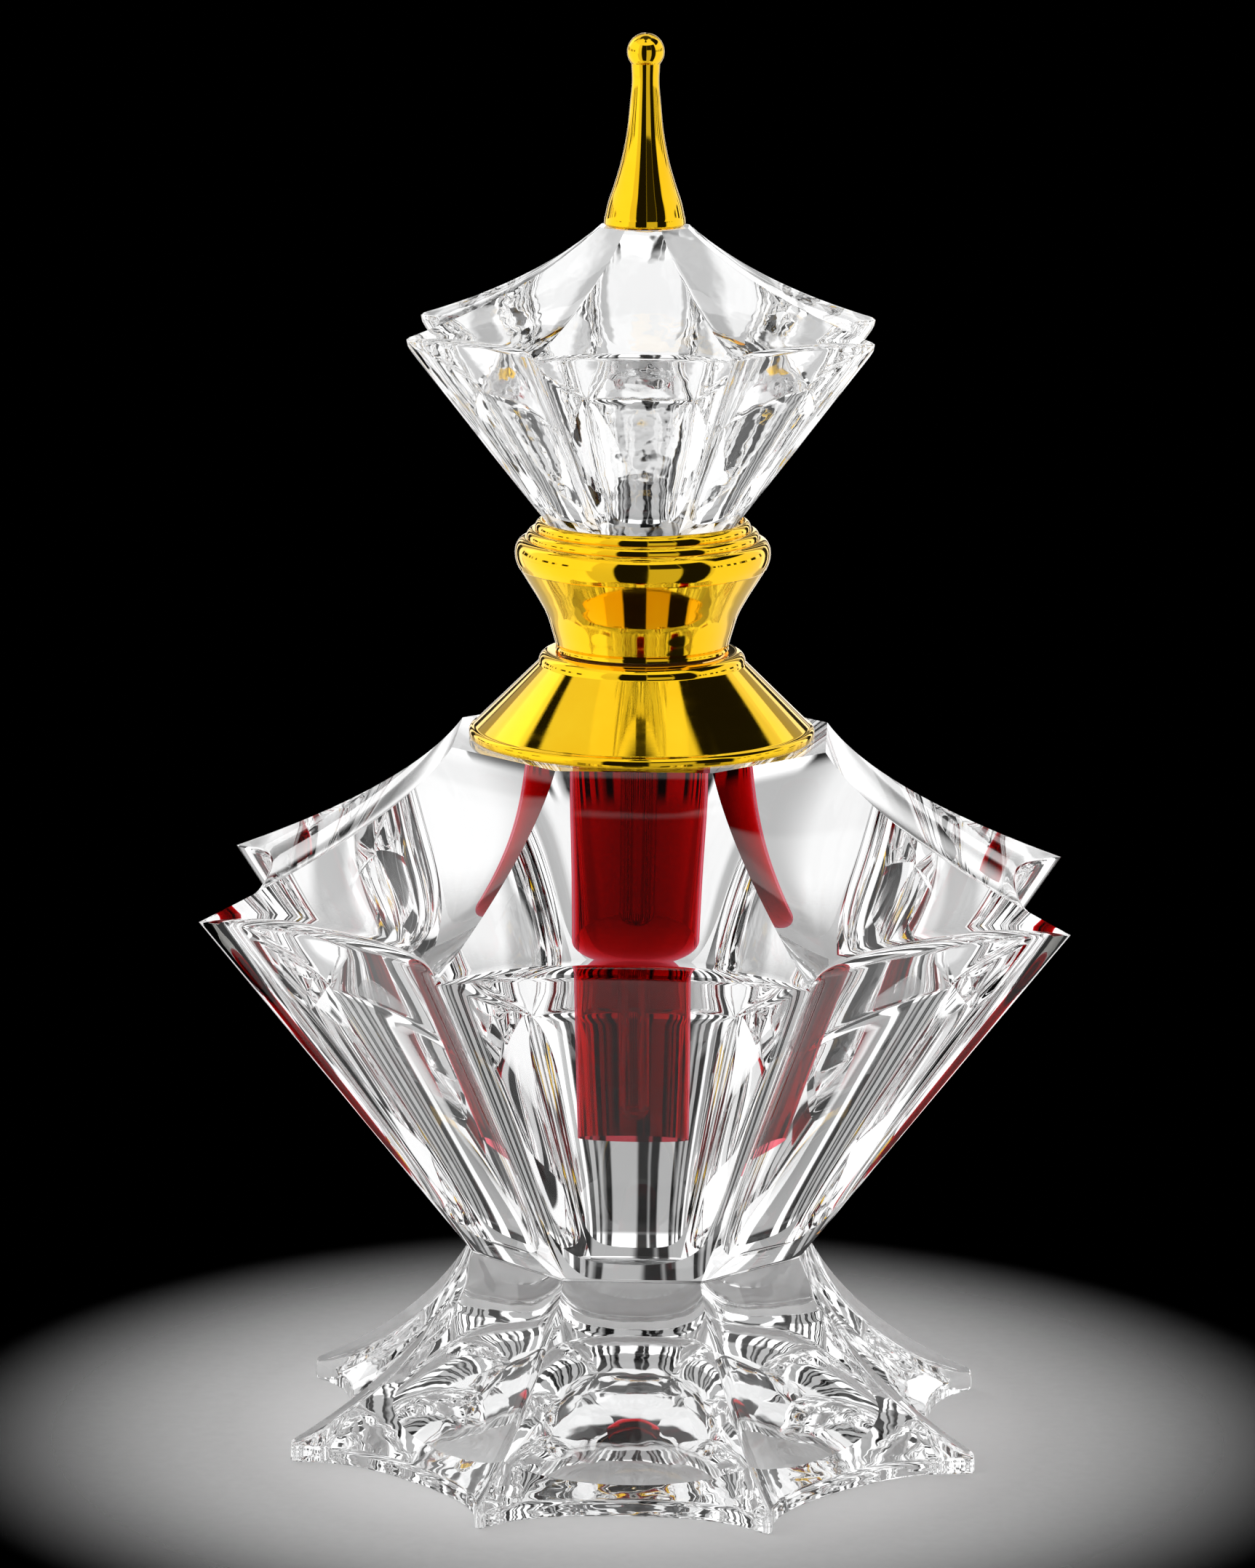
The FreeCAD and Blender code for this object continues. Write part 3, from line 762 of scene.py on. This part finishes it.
def make_floor(radius=0.16, rings=24, steps=96):
    """Pale table top with a painted pool of light, whitest under the bottle, and painted light falloff round
    it where it turns see-through into the dark.
    """
    work = bmesh.new()
    previous = [work.verts.new((0, 0, 0))] * steps
    for ring in range(1, rings + 1):
        r = radius * ring / rings
        turns = [2 * math.pi * i / steps for i in range(steps)]
        line = [work.verts.new((r * math.cos(turn), r * math.sin(turn), 0)) for turn in turns]
        for i in range(steps):
            j = (i + 1) % steps
            if ring == 1:
                work.faces.new((previous[0], line[i], line[j]))
            else:
                work.faces.new((previous[i], line[i], line[j], previous[j]))
        previous = line
    mesh = bpy.data.meshes.new("floor")
    work.to_mesh(mesh)
    work.free()
    floor = bpy.data.objects.new("floor", mesh)
    bpy.context.scene.collection.objects.link(floor)
    floor.location.z = -JOINT_LAP * MM  # just clear of the foot
    mat = bpy.data.materials.new("pale_floor")
    mat.use_nodes = True
    tree = mat.node_tree
    tree.nodes.clear()
    n = Nodes(tree)
    place = n.add("ShaderNodeTexCoord").outputs["Object"]
    length = n.add("ShaderNodeVectorMath", operation="LENGTH")
    n.put(length.inputs[0], place)
    # Painted light falloff: away from the bottle the paper turns see-through, so the pale floor fades into
    # the dark.
    painted_falloff = n.between(length.outputs["Value"], *FLOOR_PAINTED_FALLOFF)
    paper = n.add("ShaderNodeBsdfPrincipled")
    grain = n.noise(place, 900.0, 4.0, 0.6)
    # Painted light: the paper is painted near white under the bottle, in place of the shade that the crystal
    # casts there.
    painted_pool = n.between(length.outputs["Value"], *FLOOR_PAINTED_POOL, 0.7, 0.0)
    tone = n.math("ADD", n.math("MULTIPLY", grain, 0.2), painted_pool)
    greys = [(0.06, 0.72), (0.14, 0.76), (0.76, 0.95), (0.84, 0.98)]
    n.put(paper.inputs["Base Color"], n.ramp(tone, [(stop, (grey,) * 3) for stop, grey in greys]))
    n.put(paper.inputs["Normal"], n.bump(grain, 0.2, 0.00003))
    paper.inputs["Roughness"].default_value = 0.8
    paper.inputs["Specular IOR Level"].default_value = 0.0
    clear = n.add("ShaderNodeBsdfTransparent")
    mix = n.add("ShaderNodeMixShader")
    n.put(mix.inputs[0], painted_falloff)
    n.put(mix.inputs[1], paper.outputs["BSDF"])
    n.put(mix.inputs[2], clear.outputs["BSDF"])
    out = n.add("ShaderNodeOutputMaterial")
    n.put(out.inputs["Surface"], mix.outputs["Shader"])
    mesh.materials.append(mat)


# Flags and soft boxes of the studio: (azimuths, elevations, level). Azimuth 0 faces the camera, 90 is +X.
FLAGS = (
    ((-24.0, 8.0), (-70.0, 42.0), 0.01),
    ((8.0, 38.0), (-70.0, 12.0), 0.62),
    ((8.0, 38.0), (12.0, 42.0), 0.02),
    ((38.0, 66.0), (-70.0, 42.0), 0.01),
    ((-80.0, 80.0), (44.0, 91.0), 1.05),
    ((-165.0, -44.0), (-8.0, 44.0), 1.25),
    ((-135.0, -50.0), (-60.0, -8.0), 1.25),
    ((-142.0, -122.0), (12.0, 44.0), 1.6),
    ((70.0, 140.0), (-60.0, 33.0), 1.05),
    ((79.0, 130.0), (33.0, 68.0), 0.01),
    ((-118.0, -110.0), (36.0, 66.0), 0.01),
    ((-13.0, 13.0), (62.0, 91.0), 0.04),
)
BLACK = 0.04                        # level of the gaps in the ceiling


def make_world():
    """Soft white studio with dark flags before and beside the bottle and strip lights behind it."""
    world = bpy.data.worlds.new("studio")
    bpy.context.scene.world = world
    world.use_nodes = True
    tree = world.node_tree
    tree.nodes.clear()
    n = Nodes(tree)
    split = n.add("ShaderNodeSeparateXYZ")
    n.put(split.inputs[0], n.add("ShaderNodeTexCoord").outputs["Generated"])
    x, y, z = split.outputs
    degrees = 180 / math.pi
    side = n.math("MULTIPLY", n.math("ARCTAN2", x, n.math("MULTIPLY", y, -1.0)), degrees)
    rise = n.math("MULTIPLY", n.math("ARCSINE", z), degrees)
    away = n.math("ABSOLUTE", side)

    def band(value, low, high, soft):
        up = n.between(value, low - soft, low + soft)
        down = n.between(value, high - soft, high + soft, 1.0, 0.0)
        return n.math("MULTIPLY", up, down)

    def patch(sides, rises, soft=1.5):
        return n.math("MULTIPLY", band(side, *sides, soft), band(rise, *rises, soft))

    def paint(level, where, new):
        """Replaces the level by new where the mask is one."""
        old = n.math("MULTIPLY", level, n.math("SUBTRACT", 1.0, where))
        return n.math("ADD", old, n.math("MULTIPLY", where, new))

    def strips(value, density, high):
        """Upright strip lights of uneven width between black gaps."""
        node = n.add("ShaderNodeTexNoise", noise_dimensions="1D")
        n.put(node.inputs["W"], n.math("MULTIPLY", value, density))
        node.inputs["Scale"].default_value = 1.0
        node.inputs["Detail"].default_value = 1.5
        return n.between(node.outputs["Fac"], 0.47, 0.53, 0.02, high)

    # The room itself, then the flags and boxes.
    level = n.between(rise, -35.0, 40.0, 0.80, 0.92)
    for sides, rises, value in FLAGS:
        level = paint(level, patch(sides, rises), value)

    # Strip lights low at both flanks, so that the crystal has dark bars from the sides as well.
    flanks = n.math("MULTIPLY", band(away, 68.0, 137.0, 1.5), band(rise, 0.0, 9.0, 1.0))
    level = paint(level, flanks, strips(side, 0.12, 1.25))

    # The wall behind: plain below, then strip lights, paler higher up and dim in the very middle.
    low_wall = n.between(away, 158.0, 165.0, 0.55, 1.0)
    low_back = n.math("MULTIPLY", n.between(away, 140.0, 146.0), n.between(rise, -20.0, -17.0, 1.0, 0.0))
    level = paint(level, low_back, low_wall)
    comb = strips(away, 0.11, 1.4)
    behind = n.between(away, 136.0, 139.0)
    level = paint(level, n.math("MULTIPLY", behind, band(rise, -18.5, 41.0, 1.5)), comb)
    upper = band(rise, 12.0, 41.0, 1.5)
    paler = n.math("ADD", n.math("MULTIPLY", comb, 0.6), 0.42)
    level = paint(level, n.math("MULTIPLY", behind, upper), paler)
    middle = n.math("MULTIPLY", n.between(away, 158.0, 160.0), upper)
    level = paint(level, middle, n.math("MULTIPLY", comb, 0.34))

    # Black gaps in the ceiling, behind the bottle and right above it.
    ceiling_gap = n.math("MULTIPLY", n.between(rise, 60.0, 64.0), n.between(away, 95.0, 105.0))
    level = paint(level, ceiling_gap, BLACK)
    level = paint(level, n.between(rise, 79.0, 82.0), BLACK)

    # The camera itself sees the room as black, as on the photograph's black ground.
    seen = n.math("SUBTRACT", 1.0, n.add("ShaderNodeLightPath").outputs["Is Camera Ray"])
    back = n.add("ShaderNodeBackground")
    back.inputs["Color"].default_value = (1.0, 1.0, 1.0, 1.0)
    n.put(back.inputs["Strength"], n.math("MULTIPLY", level, seen))
    out = n.add("ShaderNodeOutputWorld")
    n.put(out.inputs["Surface"], back.outputs["Background"])


def make_camera():
    """The photograph's viewing angle: a long lens a little above the bottle and to its right."""
    distance, aim_x, aim_z = 521.34, -1.175, 56.593         # mm
    rise, side, roll = math.radians(11.806), math.radians(2.381), math.radians(0.32)
    lens, film = 141.294957, 36.0                           # mm, the film's longer side
    place = Vector((aim_x, -distance * math.cos(rise), aim_z + distance * math.sin(rise))) * MM
    forward = Vector((0, math.cos(rise), -math.sin(rise)))
    right = Vector((1, 0, 0))
    up = right.cross(forward)
    tilted = math.cos(roll) * right + math.sin(roll) * up
    upright = -math.sin(roll) * right + math.cos(roll) * up
    turn = Matrix.Rotation(side, 4, "Z")
    matrix = Matrix((tilted, upright, -forward)).transposed().to_4x4()
    matrix.translation = place
    data = bpy.data.cameras.new("camera")
    data.sensor_fit = "AUTO"
    data.sensor_width = film
    data.lens = lens
    data.clip_start, data.clip_end = 0.01, 20.0
    camera = bpy.data.objects.new("camera", data)
    bpy.context.scene.collection.objects.link(camera)
    camera.matrix_world = turn @ matrix
    bpy.context.scene.camera = camera


make_floor()
make_world()
make_camera()

scene = bpy.context.scene
scene.view_settings.view_transform = "Standard"
scene.view_settings.look = "None"
scene.cycles.max_bounces = 28
scene.cycles.transmission_bounces = 28
scene.cycles.glossy_bounces = 20
scene.cycles.transparent_max_bounces = 12
scene.cycles.blur_glossy = 0.3
scene.cycles.sample_clamp_indirect = 6.0
